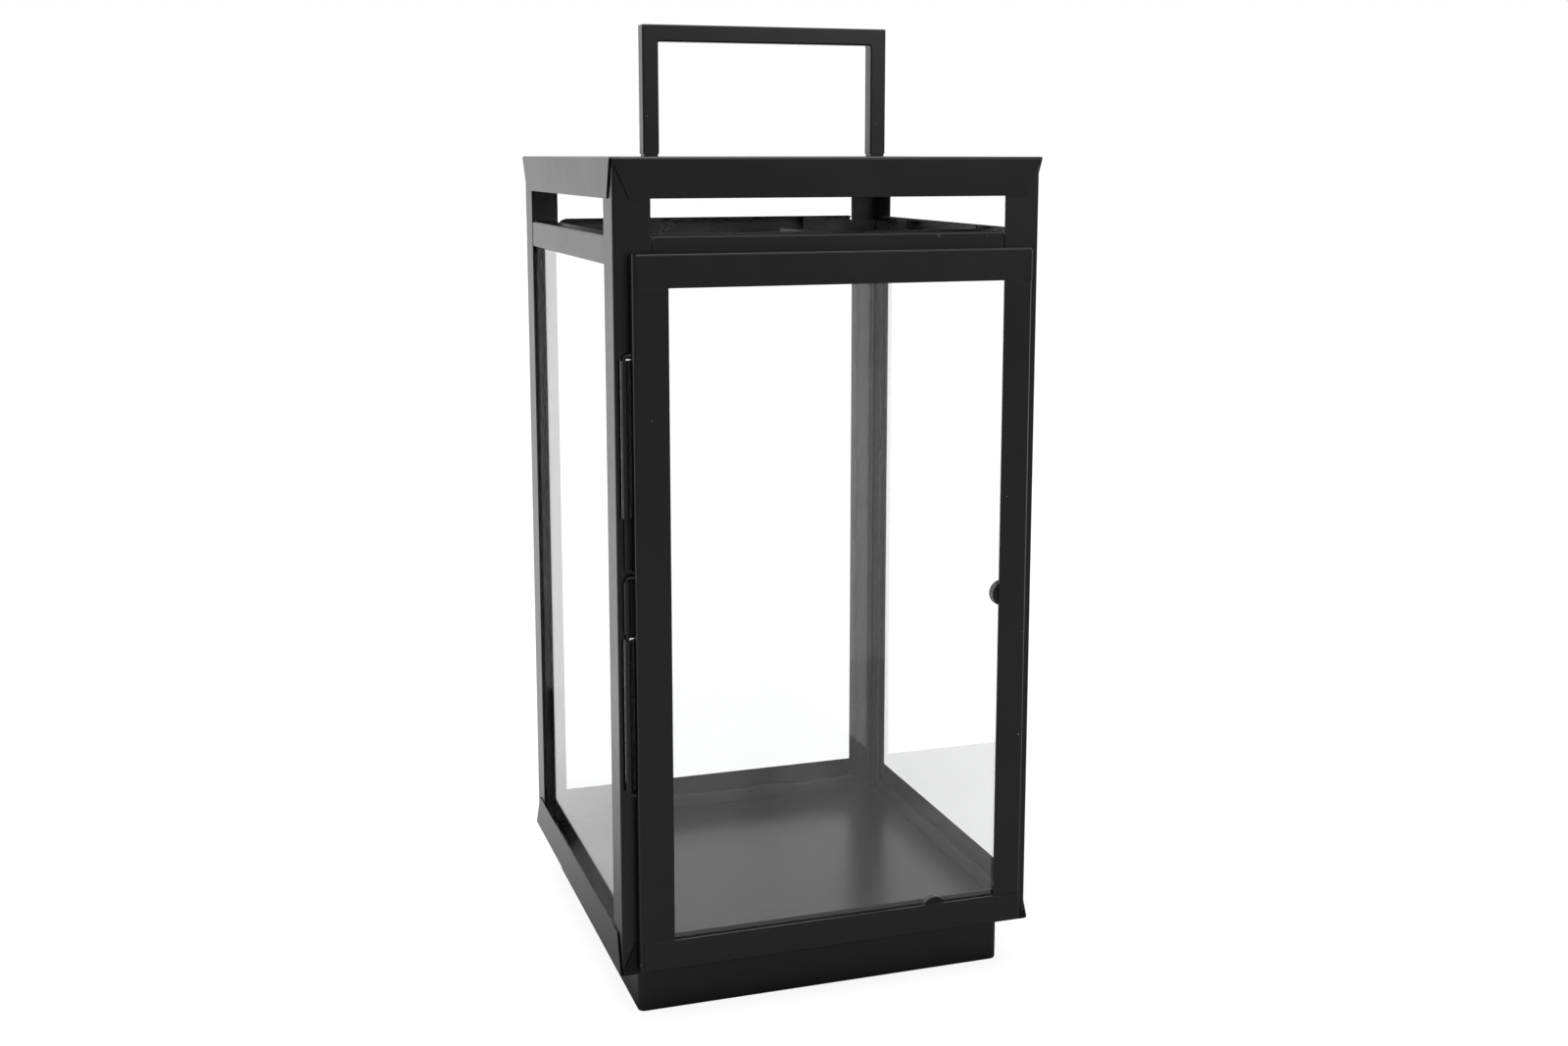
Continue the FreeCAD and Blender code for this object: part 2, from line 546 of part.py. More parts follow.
def all_parts():
    """Every sub-part by its node name."""
    post = angle_post()
    parts = {
        "plinth": make_plinth(),
        "base_tray": folded_tray(PLINTH_HEIGHT, 1, TRAY_FLANGE, TRAY_FLARE),
        "top_cap": make_top_cap(),
        "post_front_left": make_hinge_post(),
        "post_front_right": turned(post, 90),
        "post_rear_right": turned(post, 180),
        "post_rear_left": turned(post, 270),
        "rail_front": make_rail(()),
        "pane_right": make_side_pane(),
        "pane_left": mirrored(make_side_pane()),
        "pane_rear": make_rear_pane(),
        "silicone_right": turned(glazing_bead(-HALF + BEAD_START + 2 * BEAD_WIDTH, BEAD_FRONT_START), 90),
        "silicone_rear": turned(glazing_bead(-HALF + BEAD_START + 2 * BEAD_WIDTH, BEAD_START), 180),
        "silicone_left": mirrored(turned(glazing_bead(BEAD_WIDTH, BEAD_FRONT_START), 90)),
        "door_stile_left": make_hinge_stile(),
        "door_stile_right": make_stile(DOOR_X1, OPEN_X1, OPEN_Z0 + DOOR_SEAM, OPEN_Z1 - DOOR_SEAM),
        "door_rail_top": make_door_rail(DOOR_TOP, OPEN_Z1),
        "door_rail_bottom": make_door_rail(DOOR_BOTTOM, OPEN_Z0),
        "door_pane": make_door_pane(),
        "door_pane_bead": make_door_bead(),
        "hinge_wire_upper": make_upper_wire(),
        "hinge_wire_lower": make_lower_wire(),
        "catch_magnet": make_catch_magnet(),
        "bottom_magnet": make_bottom_magnet(),
        "handle": make_handle(),
        "handle_inserts": make_handle_inserts(),
        "handle_washers": make_handle_washers(),
        "handle_screws": make_handle_screws(),
    }
    for side, degrees in (("right", 90), ("rear", 180), ("left", 270)):
        parts["rail_" + side] = turned(make_rail(TAB_PLACES[side]), degrees)
    return parts


def main():
    os.makedirs("parts", exist_ok=True)
    for name, shape in all_parts().items():
        shape.exportStep("parts/" + name + ".step")
        print(name, "solids", len(shape.Solids), "valid", shape.isValid(), "volume", round(shape.Volume, 1))


main()
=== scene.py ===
# %% [markdown]
# # A candle lantern in powder-coated sheet metal and glass
#
# The lantern stands still in the middle of the frame: a plinth, a tray, four angle posts, a cap, a square
# handle, glass on four sides and a door that hangs on wire pins. The steel pieces and the glass come from the
# imported model. This script gives them their finishes, lays the glazing silicone, and sets up the
# studio. Everything is in metres.

# %% Load the frame
import math

import bpy
import numpy as np
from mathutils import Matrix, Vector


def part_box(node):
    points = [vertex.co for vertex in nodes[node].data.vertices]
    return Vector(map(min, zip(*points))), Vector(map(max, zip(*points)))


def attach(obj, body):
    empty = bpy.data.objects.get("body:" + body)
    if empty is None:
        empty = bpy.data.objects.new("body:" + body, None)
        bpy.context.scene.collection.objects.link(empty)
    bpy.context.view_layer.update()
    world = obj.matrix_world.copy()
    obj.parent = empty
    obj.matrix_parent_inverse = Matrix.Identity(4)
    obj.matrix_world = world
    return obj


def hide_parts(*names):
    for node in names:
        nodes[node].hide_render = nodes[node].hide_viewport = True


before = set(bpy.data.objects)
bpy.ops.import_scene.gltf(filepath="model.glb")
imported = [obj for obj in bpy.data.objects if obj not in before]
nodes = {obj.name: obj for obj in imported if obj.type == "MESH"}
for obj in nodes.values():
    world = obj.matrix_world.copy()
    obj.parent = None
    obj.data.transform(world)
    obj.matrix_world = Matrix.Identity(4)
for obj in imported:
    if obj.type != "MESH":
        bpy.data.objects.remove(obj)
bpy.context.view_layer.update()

MM = 0.001

# %% [markdown]
# ## Small helpers for shader nodes
#
# A material in Blender is a graph. Adding a node, setting a few of its sockets and linking some others is
# done dozens of times below, so one helper does all three: a value given as a socket becomes a link, and any
# other value is written on the socket itself.

# %% Node helpers


def node(tree, kind, sockets=None, **settings):
    """Add one node to a tree; sockets maps an input's name or number to a value or to another node's output."""
    made = tree.nodes.new(kind)
    for key, value in settings.items():
        setattr(made, key, value)
    for key, value in (sockets or {}).items():
        if isinstance(value, bpy.types.NodeSocket):
            tree.links.new(value, made.inputs[key])
        else:
            made.inputs[key].default_value = value
    return made


def sum_of(tree, *values):
    """Output that adds up sockets and numbers."""
    total = values[0]
    for value in values[1:]:
        total = node(tree, "ShaderNodeMath", {0: total, 1: value}, operation="ADD").outputs[0]
    return total


def scaled(tree, value, factor):
    """Output of a socket times a factor."""
    return node(tree, "ShaderNodeMath", {0: value, 1: factor}, operation="MULTIPLY").outputs[0]


def remap(tree, value, low, high, to_low, to_high):
    """Output of a socket carried from one range to another, held at its ends."""
    made = node(tree, "ShaderNodeMapRange", {0: value, 1: low, 2: high, 3: to_low, 4: to_high})
    return made.outputs[0]


def shader_group(name, inputs, outputs):
    """Empty shader node group with named number inputs, and outputs given as (name, socket type)."""
    tree = bpy.data.node_groups.new(name, "ShaderNodeTree")
    for label, value in inputs.items():
        socket = tree.interface.new_socket(label, in_out="INPUT", socket_type="NodeSocketFloat")
        socket.default_value = value
    for label, kind in outputs:
        tree.interface.new_socket(label, in_out="OUTPUT", socket_type=kind)
    return tree, tree.nodes.new("NodeGroupInput"), tree.nodes.new("NodeGroupOutput")


def object_point(tree):
    """Point of the surface in the lantern's own frame, in metres."""
    return node(tree, "ShaderNodeTexCoord").outputs["Object"]


# %% [markdown]
# ## The grain of powder coat
#
# Powder is sprayed dry and melts into a skin that is never quite flat: a fine grit of about a third of a
# millimetre sits on a slow swell of a few millimetres, called orange peel. Two noise textures at those two
# sizes make one height, which a Bump node turns into light. The same noise moves the roughness a little, so a
# reflection breaks up and a large plain face does not look like plastic film. The tray is coated smoother.

# %% Group: powder grain


def make_powder_grain():
    """Height, roughness shift and tone of powder coat: noise of grit size plus noise of swell size."""
    tree, given, result = shader_group(
        "powder grain", {"Grit per metre": 2600.0, "Swell per metre": 260.0, "Swell share": 0.5},
        [("Height", "NodeSocketFloat"), ("Unevenness", "NodeSocketFloat"), ("Tone", "NodeSocketFloat")])
    point = object_point(tree)
    grit = node(tree, "ShaderNodeTexNoise", {"Vector": point, "Scale": given.outputs[0], "Detail": 3.0,
                                              "Roughness": 0.6}).outputs[0]
    swell = node(tree, "ShaderNodeTexNoise", {"Vector": point, "Scale": given.outputs[1], "Detail": 2.0,
                                               "Roughness": 0.5}).outputs[0]
    cloud = node(tree, "ShaderNodeTexNoise", {"Vector": point, "Scale": 22.0, "Detail": 4.0,
                                               "Roughness": 0.55}).outputs[0]
    height = sum_of(tree, grit, scaled(tree, swell, given.outputs[2]))
    tree.links.new(height, result.inputs["Height"])
    uneven = sum_of(tree, scaled(tree, cloud, 0.6), scaled(tree, swell, 0.4))
    tree.links.new(uneven, result.inputs["Unevenness"])
    tree.links.new(remap(tree, cloud, 0.3, 0.7, 0.0, 1.0), result.inputs["Tone"])
    return tree


powder_grain = make_powder_grain()

# %% [markdown]
# ## Painted edge highlights
#
# On a sharp edge the melted powder pulls thin, so it is smoother there. The coats also get a lighter colour
# along their sharp edges: a painted highlight, standing in for the light that the rounded folds catch.
# The Bevel node gives the normal that the surface would have with its edges rounded off. Where that differs
# from the true normal there is an edge, and noise breaks the line up, so it is not a drawn outline.

# %% Group: painted edge highlight


# The mask below marks where the coats get a painted highlight in their colour, and a smoother coat.
def make_painted_edge_highlight():
    """Mask of sharp edges: one minus the agreement of true and rounded normals, broken up by noise."""
    tree, given, result = shader_group("painted edge highlight", {"Radius": 0.0006, "Patchiness": 0.5},
                                       [("Mask", "NodeSocketFloat")])
    rounded = node(tree, "ShaderNodeBevel", {"Radius": given.outputs[0]}, samples=4).outputs[0]
    true_normal = node(tree, "ShaderNodeNewGeometry").outputs["Normal"]
    agreement = node(tree, "ShaderNodeVectorMath", {0: rounded, 1: true_normal}, operation="DOT_PRODUCT")
    edge = remap(tree, agreement.outputs["Value"], 0.995, 0.80, 0.0, 1.0)
    patches = node(tree, "ShaderNodeTexNoise", {"Vector": object_point(tree), "Scale": 90.0,
                                                 "Detail": 4.0}).outputs[0]
    kept = remap(tree, patches, 0.35, 0.7, 1.0, 0.0)
    broken = sum_of(tree, 1.0, scaled(tree, scaled(tree, kept, given.outputs[1]), -1.0))
    tree.links.new(scaled(tree, edge, broken), result.inputs["Mask"])
    return tree


painted_edge_highlight = make_painted_edge_highlight()

# %% [markdown]
# ## Dust
#
# Black shows every grain of dust. A Voronoi texture gives each cell one point, and the distance to it makes a
# round speck. The cell's own random colour sets the speck's size, and is too low in about half of the cells to
# leave any, so the specks are sparse and differ.

# %% Group: dust specks


def make_dust_specks():
    """Mask of small specks: points nearer to a Voronoi cell's middle than a size set by the cell's colour."""
    tree, given, result = shader_group("dust specks", {"Specks per metre": 95.0, "Speck size": 0.045},
                                       [("Mask", "NodeSocketFloat")])
    cells = node(tree, "ShaderNodeTexVoronoi", {"Vector": object_point(tree), "Scale": given.outputs[0]})
    pick = node(tree, "ShaderNodeSeparateColor", {"Color": cells.outputs["Color"]})
    size = scaled(tree, remap(tree, pick.outputs[0], 0.55, 1.0, 0.0, 1.0), given.outputs[1])
    inside = node(tree, "ShaderNodeMath", {0: cells.outputs["Distance"], 1: size}, operation="LESS_THAN")
    tree.links.new(inside.outputs[0], result.inputs["Mask"])
    return tree


dust_specks = make_dust_specks()


def placed(tree, group, **values):
    """Put a shared group into a material with its own values; underscores stand for spaces in their names."""
    made = tree.nodes.new("ShaderNodeGroup")
    made.node_tree = group
    for key, value in values.items():
        made.inputs[key.replace("_", " ")].default_value = value
    return made


# %% [markdown]
# ## Black powder coat
#
# The steel is coated satin black. Seen straight on it is almost black; seen along its face it mirrors the
# white room, which is why the left side of the lantern looks light grey. That comes by itself from a
# non-metallic surface with a middling roughness, so the material has no trick for that. It has base colour,
# roughness, bump from the grain, a painted highlight along sharp edges and a few specks of dust.

# %% Material: coated steel and its relatives


def blank_material(name):
    """New material with an empty graph, its output node and a Principled shader linked to it."""
    material = bpy.data.materials.new(name)
    material.use_nodes = True
    tree = material.node_tree
    tree.nodes.clear()
    shader = node(tree, "ShaderNodeBsdfPrincipled")
    output = node(tree, "ShaderNodeOutputMaterial", {"Surface": shader.outputs[0]})
    return material, tree, shader, output


def mixed_colour(tree, factor, first, second):
    """Colour that goes from the first to the second with a factor."""
    mix = node(tree, "ShaderNodeMix", data_type="RGBA")
    for socket, value in ((0, factor), (6, first), (7, second)):
        if isinstance(value, bpy.types.NodeSocket):
            tree.links.new(value, mix.inputs[socket])
        else:
            mix.inputs[socket].default_value = value
    return mix.outputs[2]


def coated_metal(name, dark, light, edge, roughness, grain_depth, speck=0.045, patchiness=0.5,
                 unevenness=0.03, ior=1.5):
    """Powder coat: two close blacks clouded together, a painted highlight on sharp edges, dust, and roughness
    that wanders.
    """
    material, tree, shader, _ = blank_material(name)
    grain = placed(tree, powder_grain)
    edge_highlight = placed(tree, painted_edge_highlight, Patchiness=patchiness)
    dust = placed(tree, dust_specks, Speck_size=speck)
    body = mixed_colour(tree, grain.outputs["Tone"], (*dark, 1.0), (*light, 1.0))
    # Painted highlight: the edge colour, far lighter than the black body, is mixed in along sharp edges.
    highlighted = mixed_colour(tree, edge_highlight.outputs[0], body, (*edge, 1.0))
    dusty = mixed_colour(tree, dust.outputs[0], highlighted, (0.30, 0.30, 0.30, 1.0))
    tree.links.new(dusty, shader.inputs["Base Color"])
    wander = remap(tree, grain.outputs["Unevenness"], 0.3, 0.7, roughness - unevenness,
                   roughness + unevenness)
    smoother = sum_of(tree, wander, scaled(tree, edge_highlight.outputs[0], -0.08))
    tree.links.new(smoother, shader.inputs["Roughness"])
    bump = node(tree, "ShaderNodeBump", {"Strength": 0.35, "Distance": grain_depth,
                                          "Height": grain.outputs["Height"]})
    tree.links.new(bump.outputs[0], shader.inputs["Normal"])
    shader.inputs["IOR"].default_value = ior
    return material


# The third colour of each coat is the painted highlight along its sharp edges.
powder_black = coated_metal("powder black", (0.0050, 0.0050, 0.0051), (0.0068, 0.0068, 0.0069),
                            (0.035, 0.035, 0.036), 0.30, 0.00002, ior=1.62)
tray_black = coated_metal("tray black", (0.0050, 0.0050, 0.0051), (0.0062, 0.0062, 0.0063),
                          (0.035, 0.035, 0.036), 0.25, 0.000003, speck=0.06, unevenness=0.008, ior=1.38)
wire_black = coated_metal("wire black", (0.012, 0.012, 0.012), (0.018, 0.018, 0.018),
                          (0.07, 0.07, 0.07), 0.28, 0.00002)
magnet_black = coated_metal("magnet black", (0.006, 0.006, 0.006), (0.010, 0.010, 0.010),
                            (0.03, 0.03, 0.03), 0.45, 0.00004)
print("coats:", powder_black.name, tray_black.name, wire_black.name, magnet_black.name)

# %% [markdown]
# ## Zinc-plated fasteners
#
# The screws and washers under the cap are plated. Plating is metallic, cloudy from the bath, and finely
# scratched by the driver; stretched noise gives the scratches.

# %% Material: zinc plate


def zinc_plate():
    """Plated steel: grey metal, clouded roughness, fine scratches from noise stretched along X."""
    material, tree, shader, _ = blank_material("zinc plate")
    point = object_point(tree)
    cloud = node(tree, "ShaderNodeTexNoise", {"Vector": point, "Scale": 400.0, "Detail": 3.0}).outputs[0]
    stretch = node(tree, "ShaderNodeMapping", {"Vector": point, "Scale": (600.0, 9000.0, 9000.0)})
    scratch = node(tree, "ShaderNodeTexNoise", {"Vector": stretch.outputs[0], "Scale": 1.0,
                                                 "Detail": 2.0}).outputs[0]
    colour = mixed_colour(tree, cloud, (0.48, 0.48, 0.50, 1.0), (0.66, 0.66, 0.66, 1.0))
    tree.links.new(colour, shader.inputs["Base Color"])
    tree.links.new(remap(tree, cloud, 0.3, 0.7, 0.25, 0.45), shader.inputs["Roughness"])
    bump = node(tree, "ShaderNodeBump", {"Strength": 0.2, "Distance": 0.00002, "Height": scratch})
    tree.links.new(bump.outputs[0], shader.inputs["Normal"])
    shader.inputs["Metallic"].default_value = 1.0
    return material


plated = zinc_plate()

# %% [markdown]
# ## Window glass
#
# Each pane is a real 2 mm block, so light bends in and out of it and its edges go dark, as on the real one.
# Shadow rays are let straight through by a Transparent shader, because light bent by glass cannot find a lamp
# in a path tracer and the inside would turn black. Wiped glass is clean but for thin smears and a few specks.

# %% Material: clear glass


def clear_glass(name, smear):
    """Glass with faint smears in its roughness, specks in its colour, and clear shadows."""
    material, tree, shader, output = blank_material(name)
    point = object_point(tree)
    wiping = node(tree, "ShaderNodeMapping", {"Vector": point, "Rotation": (0.3, 0.5, 0.2),
                                               "Scale": (9.0, 9.0, 3.0)})
    streaks = node(tree, "ShaderNodeTexNoise", {"Vector": wiping.outputs[0], "Scale": 1.0, "Detail": 5.0,
                                                 "Distortion": 1.2}).outputs[0]
    tree.links.new(remap(tree, streaks, 0.55, 0.8, 0.0, smear), shader.inputs["Roughness"])
    dust = placed(tree, dust_specks, Specks_per_metre=60.0, Speck_size=0.035)
    colour = mixed_colour(tree, dust.outputs[0], (0.985, 0.99, 0.988, 1.0), (0.55, 0.56, 0.56, 1.0))
    tree.links.new(colour, shader.inputs["Base Color"])
    shader.inputs["Transmission Weight"].default_value = 1.0
    shader.inputs["IOR"].default_value = 1.5
    through = node(tree, "ShaderNodeBsdfTransparent", {"Color": (0.95, 0.96, 0.955, 1.0)})
    path = node(tree, "ShaderNodeLightPath")
    straight = node(tree, "ShaderNodeMath", {0: path.outputs["Is Shadow Ray"],
                                              1: path.outputs["Is Diffuse Ray"]}, operation="MAXIMUM")
    mix = node(tree, "ShaderNodeMixShader", {0: straight.outputs[0], 1: shader.outputs[0],
                                              2: through.outputs[0]})
    tree.links.new(mix.outputs[0], output.inputs["Surface"])
    return material


pane_glass = clear_glass("pane glass", 0.02)
door_glass = clear_glass("door glass", 0.03)

# %% [markdown]
# ## Give every steel and glass piece its finish
#
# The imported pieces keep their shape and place; only their material slots change. The tray gets a slightly
# smoother coat than the rest, because a flat floor shows a soft mirror image of the room.

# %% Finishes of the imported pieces
FINISHES = {
    powder_black: ("plinth", "top_cap", "post_front_left", "post_front_right", "post_rear_left",
                   "post_rear_right", "rail_front", "rail_rear", "rail_left", "rail_right", "handle",
                   "door_stile_left", "door_stile_right", "door_rail_top", "door_rail_bottom"),
    tray_black: ("base_tray",),
    wire_black: ("hinge_wire_upper", "hinge_wire_lower", "handle_inserts"),
    magnet_black: ("catch_magnet", "bottom_magnet"),
    plated: ("handle_screws", "handle_washers"),
    pane_glass: ("pane_left", "pane_right", "pane_rear"),
    door_glass: ("door_pane",),
}
for material, names in FINISHES.items():
    for name in names:
        piece = nodes[name]
        piece.data.materials.clear()
        piece.data.materials.append(material)
print("finished nodes:", sum(len(names) for names in FINISHES.values()))

# %% [markdown]
# ## Silicone, run by hand
#
# The glass is bedded in black silicone squeezed from a tube. Such a bead is never straight: its edge swells and
# shrinks, it has small ridges where the hand stopped, and trapped air shows as pale mottling through the
# glass. Each run is a closed tube with a squarish section whose width wanders along its length. The section is
# a superellipse, and the wander is a sum of sines with fixed phases, so it is the same every time.

# %% Silicone runs
SQUARENESS = 0.4
SECTION_POINTS = 20


def wander(length_mm, count, seed):
    """Row of count values between about -1 and 1: five sines of 9 to 60 mm wavelength with seeded phases."""
    draw = np.random.default_rng(seed)
    along = np.linspace(0.0, length_mm, count)
    waves = np.array([60.0, 34.0, 21.0, 13.0, 9.0])
    weights = np.array([0.35, 0.25, 0.18, 0.13, 0.09])
    phases = draw.uniform(0.0, 2.0 * np.pi, waves.size)
    return (np.sin(2.0 * np.pi * along[:, None] / waves + phases) * weights).sum(axis=1)


def silicone_run(low, high, along, wavy, seed):
    """Closed tube in the block low..high (mm), run along one axis, with a wandering edge.

    Point(u, v) = start + u * length + width(u) * C(v) * side + thick * S(v) * other, where C and S are the
    cosine and sine of v raised to SQUARENESS with their sign kept (a superellipse), and the edge on the wavy
    side (-1 or 1) moves by up to wavy millimetres with wander(u). Both ends shrink to half to close round.
    """
    low = np.array(low)
    high = np.array(high)
    size = high - low
    across = [axis for axis in range(3) if axis != along]
    side, other = sorted(across, key=lambda axis: -size[axis])
    count = max(int(size[along] / 2.0), 12)
    u = np.linspace(0.0, 1.0, count)
    v = np.linspace(0.0, 2.0 * np.pi, SECTION_POINTS, endpoint=False)
    c = np.sign(np.cos(v)) * np.abs(np.cos(v)) ** SQUARENESS
    s = np.sign(np.sin(v)) * np.abs(np.sin(v)) ** SQUARENESS
    taper = np.minimum(1.0, 0.5 + np.minimum(u, 1.0 - u) * size[along] / 1.5)
    edge = abs(wavy) * (0.5 + 0.5 * wander(size[along], count, seed))
    half = size[side] / 2.0
    points = np.zeros((count, v.size, 3))
    points[:, :, along] = low[along] + u[:, None] * size[along]
    moved = np.where(np.sign(wavy) * c[None, :] > 0.0, half - edge[:, None], half)
    points[:, :, side] = low[side] + half + moved * c[None, :] * taper[:, None]
    points[:, :, other] = low[other] + size[other] / 2.0 * (1.0 + s[None, :] * taper[:, None])
    return points


def tube_mesh(name, runs):
    """One mesh of several closed tubes: each grid of points (mm) is joined round, its ends fanned shut."""
    verts, faces, offset = [], [], 0
    for grid in runs:
        rows, columns = grid.shape[:2]
        index = offset + np.arange(rows * columns).reshape(rows, columns)
        right = np.roll(index, -1, axis=1)
        quads = np.stack([index[:-1], right[:-1], right[1:], index[1:]], axis=-1).reshape(-1, 4)
        first, last = offset + rows * columns, offset + rows * columns + 1
        fans = [np.stack([index[0], np.full(columns, first), right[0]], axis=-1),
                np.stack([index[-1], right[-1], np.full(columns, last)], axis=-1)]
        verts.append(np.vstack([grid.reshape(-1, 3), grid[0].mean(axis=0), grid[-1].mean(axis=0)]))
        faces += quads.tolist() + fans[0].tolist() + fans[1].tolist()
        offset += rows * columns + 2
    mesh = bpy.data.meshes.new(name)
    mesh.from_pydata((np.vstack(verts) * MM).tolist(), [], faces)
    mesh.polygons.foreach_set("use_smooth", np.ones(len(mesh.polygons), bool))
    mesh.update()
    return mesh


# %% [markdown]
# The runs follow the imported beads: one behind each post's leg and one along the foot, thick on one half where
# the tube was held longer. The wavy side is the one that looks into the lantern. Silicone is black rubber with
# a dull skin; the pale mottling is air caught against the glass, spread as patches of stretched noise.

# %% Material: silicone


def silicone_black(name, streaks):
    """Dull black rubber, bumpy from the hand, mottled pale where stretched noise passes a threshold."""
    material, tree, shader, _ = blank_material(name)
    point = object_point(tree)
    lumps = node(tree, "ShaderNodeTexNoise", {"Vector": point, "Scale": 170.0, "Detail": 5.0,
                                               "Roughness": 0.65}).outputs[0]
    stretch = node(tree, "ShaderNodeMapping", {"Vector": point, "Scale": (420.0, 420.0, 120.0)})
    bubbles = node(tree, "ShaderNodeTexNoise", {"Vector": stretch.outputs[0], "Scale": 1.0, "Detail": 6.0,
                                                 "Roughness": 0.7, "Distortion": 0.8}).outputs[0]
    pale = remap(tree, bubbles, 0.61, 0.70, 0.0, streaks)
    colour = mixed_colour(tree, pale, (0.006, 0.006, 0.006, 1.0), (0.45, 0.46, 0.46, 1.0))
    tree.links.new(colour, shader.inputs["Base Color"])
    tree.links.new(remap(tree, lumps, 0.3, 0.7, 0.40, 0.60), shader.inputs["Roughness"])
    bump = node(tree, "ShaderNodeBump", {"Strength": 0.8, "Distance": 0.0004, "Height": lumps})
    tree.links.new(bump.outputs[0], shader.inputs["Normal"])
    return material


silicone = silicone_black("silicone black", 0.16)

# %% [markdown]
# X, Y and Z are axes 0, 1 and 2. Lengths here are in millimetres.

# %% Silicone: the three glazed sides
UPRIGHT_WIDTH = 12.0
FOOT_THICK = 10.0
FOOT_THIN = 2.0
WAVE = 2.4


def lay_silicone(name, grids, body, *replaced):
    """Make a silicone piece of several runs, let it ride on a body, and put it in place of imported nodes."""
    piece = bpy.data.objects.new(name, tube_mesh(name, grids))
    bpy.context.scene.collection.objects.link(piece)
    piece.data.materials.append(silicone)
    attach(piece, body)
    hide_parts(*replaced)
    print(name, "runs", len(grids), "faces", len(piece.data.polygons))
    return piece


def side_runs(packed, along, thick_from, first_width, seed):
    """Runs of one side: two uprights, a thick foot from thick_from to the far one, and a thin foot before."""
    low, high = (np.array(corner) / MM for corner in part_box(packed))

    def part(a, b, z0, z1):
        first, last = low.copy(), high.copy()
        first[along], last[along], first[2], last[2] = a, b, z0, z1
        return first, last

    near, far = low[along], high[along]
    foot = low[2]
    return [silicone_run(*part(near, near + first_width, foot, high[2]), 2, WAVE, seed),
            silicone_run(*part(far - UPRIGHT_WIDTH, far, foot, high[2]), 2, -WAVE, seed + 1),
            silicone_run(*part(thick_from, far - 2.0, foot, foot + FOOT_THICK), along, WAVE, seed + 2),
            silicone_run(*part(near + 2.0, thick_from + 4.0, foot, foot + FOOT_THIN), along, 0.6, seed + 3)]


# side: its axis, where the thick foot starts, the first upright's width, and the seed
SIDES = {"left": (1, 6.0, 17.0, 11), "right": (1, -91.0, 17.0, 23), "rear": (0, -101.0, 12.0, 37)}
for side, values in SIDES.items():
    packed = "silicone_" + side
    lay_silicone(packed + "_runs", side_runs(packed, *values), "frame", packed)

# %% Silicone: the door's glass


def door_runs(packed, width, seed):
    """Four thin runs round the door's glass, two upright and two level, on the back of its frame."""
    low, high = (np.array(corner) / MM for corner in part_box(packed))
    runs = []
    for along, side in ((2, 0), (0, 2)):
        for way in (1, -1):
            first, last = low.copy(), high.copy()
            if way > 0:
                last[side] = low[side] + width
            else:
                first[side] = high[side] - width
            runs.append(silicone_run(first, last, along, 0.5 * way, seed + len(runs)))
    return runs


DOOR_BEAD_WIDTH = 3.0
lay_silicone("door_glass_bead", door_runs("door_pane_bead", DOOR_BEAD_WIDTH, 51), "door", "door_pane_bead")

# %% [markdown]
# ## The studio
#
# The lantern stands in a white room: a pale floor, a world, and two large soft lamps. The camera and the glass
# see white everywhere. Reflections see white behind and dark grey in front, which draws the light left side and
# keeps the front dark. The light that falls on the object is held lower than either, so that black stays black.

# %% Floor


def pale_floor():
    """Floor that keeps its shadows and reads as white: a grey diffuse surface plus glow for eye and glass.

    The glow rises with the distance from the lantern. Reflections see it only behind the lantern.
    """
    material = bpy.data.materials.new("pale floor")
    material.use_nodes = True
    tree = material.node_tree
    tree.nodes.clear()
    diffuse = node(tree, "ShaderNodeBsdfDiffuse", {"Color": FLOOR_GREY})
    path = node(tree, "ShaderNodeLightPath")
    place = node(tree, "ShaderNodeSeparateXYZ", {0: object_point(tree)})
    mirrored = node(tree, "ShaderNodeMath", {0: path.outputs["Is Glossy Ray"],
                                              1: remap(tree, place.outputs["Y"], *MIRRORED_FROM_TO, 0.0, 1.0)},
                    operation="MULTIPLY")
    seen = node(tree, "ShaderNodeMath", {0: path.outputs["Is Camera Ray"],
                                          1: path.outputs["Is Transmission Ray"]}, operation="MAXIMUM")
    seen = node(tree, "ShaderNodeMath", {0: seen.outputs[0], 1: mirrored.outputs[0]},
                operation="MAXIMUM")
    away = node(tree, "ShaderNodeVectorMath", {0: object_point(tree)}, operation="LENGTH").outputs["Value"]
    level = remap(tree, away, *GLOW_NEAR_FAR, FLOOR_GLOW, FLOOR_GLOW_FAR)
    strength = node(tree, "ShaderNodeMath", {0: seen.outputs[0], 1: level}, operation="MULTIPLY")
    glow = node(tree, "ShaderNodeEmission", {"Color": (1.0, 1.0, 1.0, 1.0),
                                              "Strength": strength.outputs[0]})
    both = node(tree, "ShaderNodeAddShader", {0: diffuse.outputs[0], 1: glow.outputs[0]})
    node(tree, "ShaderNodeOutputMaterial", {"Surface": both.outputs[0]})
    return material


FLOOR_GREY = (0.34, 0.34, 0.34, 1.0)
FLOOR_GLOW = 0.86
FLOOR_GLOW_FAR = 0.98
GLOW_NEAR_FAR = (0.4, 2.5)
MIRRORED_FROM_TO = (-0.1, 0.4)
FLOOR_REACH = 14.0
floor_mesh = bpy.data.meshes.new("studio_floor")
floor_corners = [(x * FLOOR_REACH, y * FLOOR_REACH, 0.0) for x, y in ((-1, -1), (1, -1), (1, 1), (-1, 1))]
floor_mesh.from_pydata(floor_corners, [], [(0, 1, 2, 3)])
floor = bpy.data.objects.new("studio_floor", floor_mesh)
bpy.context.scene.collection.objects.link(floor)
floor.data.materials.append(pale_floor())

# %% World


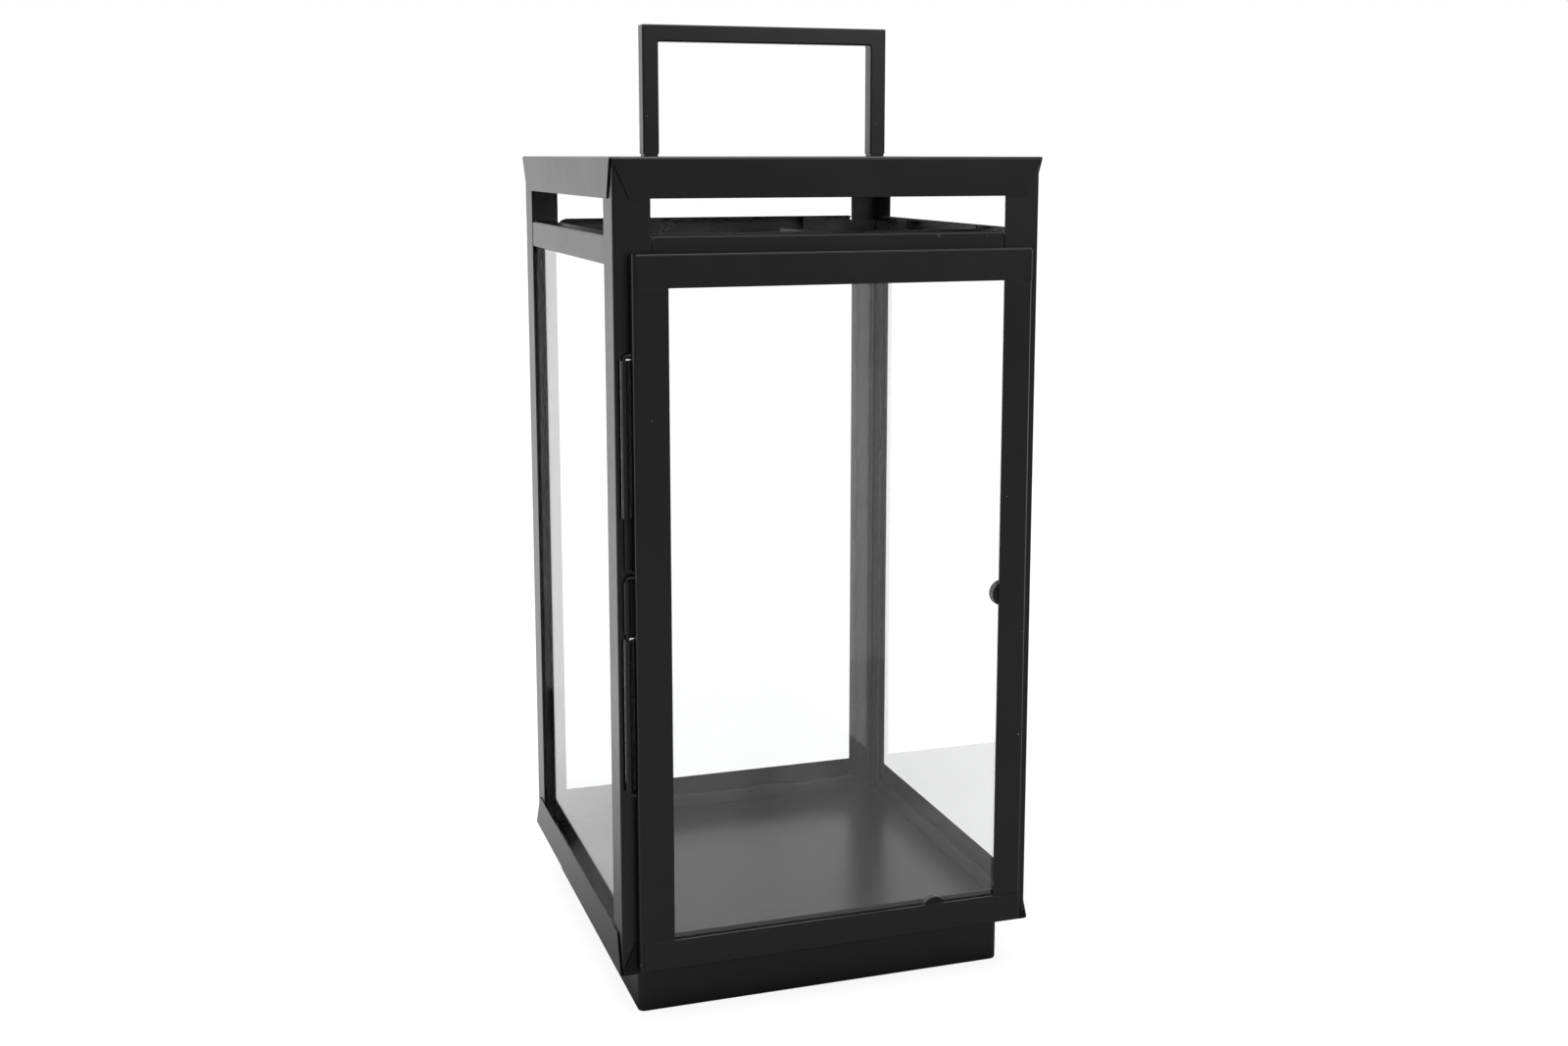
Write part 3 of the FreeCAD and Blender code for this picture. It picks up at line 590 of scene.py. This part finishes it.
def white_room():
    """World: white to camera and glass, grey in front and white behind to reflections, one level to the rest."""
    world = bpy.data.worlds.new("white room")
    bpy.context.scene.world = world
    world.use_nodes = True
    tree = world.node_tree
    tree.nodes.clear()
    direction = node(tree, "ShaderNodeTexCoord").outputs["Generated"]
    split = node(tree, "ShaderNodeSeparateXYZ", {0: direction})
    behind = remap(tree, split.outputs["Y"], *ROOM_TURNS, ROOM_FRONT, ROOM_BACK)
    path = node(tree, "ShaderNodeLightPath")
    seen = node(tree, "ShaderNodeMath", {0: path.outputs["Is Camera Ray"],
                                          1: path.outputs["Is Transmission Ray"]}, operation="MAXIMUM")
    lit = node(tree, "ShaderNodeMix", {0: path.outputs["Is Glossy Ray"], 2: ROOM_LIGHT, 3: behind},
               data_type="FLOAT")
    strength = node(tree, "ShaderNodeMix", {0: seen.outputs[0], 2: lit.outputs[0], 3: 1.0},
                    data_type="FLOAT")
    background = node(tree, "ShaderNodeBackground", {"Color": (1.0, 1.0, 1.0, 1.0),
                                                      "Strength": strength.outputs[0]})
    node(tree, "ShaderNodeOutputWorld", {"Surface": background.outputs[0]})


ROOM_FRONT = 0.14
ROOM_BACK = 1.0
ROOM_LIGHT = 0.45
ROOM_TURNS = (-0.55, 0.35)
white_room()

# %% Lamps


def soft_lamp(name, place, aim, size, watts):
    """Square area lamp at a place, turned towards a point."""
    lamp = bpy.data.lights.new(name, "AREA")
    lamp.shape = "SQUARE"
    lamp.size = size
    lamp.energy = watts
    holder = bpy.data.objects.new(name, lamp)
    bpy.context.scene.collection.objects.link(holder)
    from_to = np.array(aim) - np.array(place)
    across = math.atan2(from_to[1], from_to[0])
    down = math.atan2(math.hypot(from_to[0], from_to[1]), -from_to[2])
    holder.location = place
    holder.rotation_euler = (down, 0.0, across - math.pi / 2.0)
    return holder


soft_lamp("overhead_softbox", (-0.3, -0.3, 2.6), (0.0, 0.0, 0.2), 2.4, 34.0)
soft_lamp("front_softbox", (1.4, -2.6, 1.5), (0.0, 0.0, 0.25), 1.6, 10.0)

# %% [markdown]
# ## The camera
#
# The picture was taken from in front and a little to the left, with the camera at about the height of the cap
# and a normal lens. The place, turn and lens below come from fitting the lantern's edges. The picture's
# uprights are nearly parallel, which a lens shift does; the shift here is kept small, so that the lantern
# stays whole when it is seen from other sides.

# %% Camera
CAMERA_PLACE = (-0.3438, -1.0696, 0.4900)
CAMERA_TURN = math.radians(18.435)
CAMERA_PITCH = math.radians(8.854)
FOCAL_PIXELS = 1847.0
PICTURE_WIDTH = 1600.0
LENS_SHIFT = -0.056

view = bpy.data.cameras.new("front_left_view")
view.sensor_width = 36.0
view.lens = FOCAL_PIXELS / PICTURE_WIDTH * view.sensor_width
view.shift_y = LENS_SHIFT
view.clip_start = 0.01
view.clip_end = 50.0
camera = bpy.data.objects.new("front_left_view", view)
camera.location = CAMERA_PLACE
camera.rotation_euler = (math.pi / 2.0 - CAMERA_PITCH, 0.0, -CAMERA_TURN)
bpy.context.scene.collection.objects.link(camera)
bpy.context.scene.camera = camera
bpy.context.scene.view_settings.view_transform = "Standard"
print("lens", round(view.lens, 2), "mm")
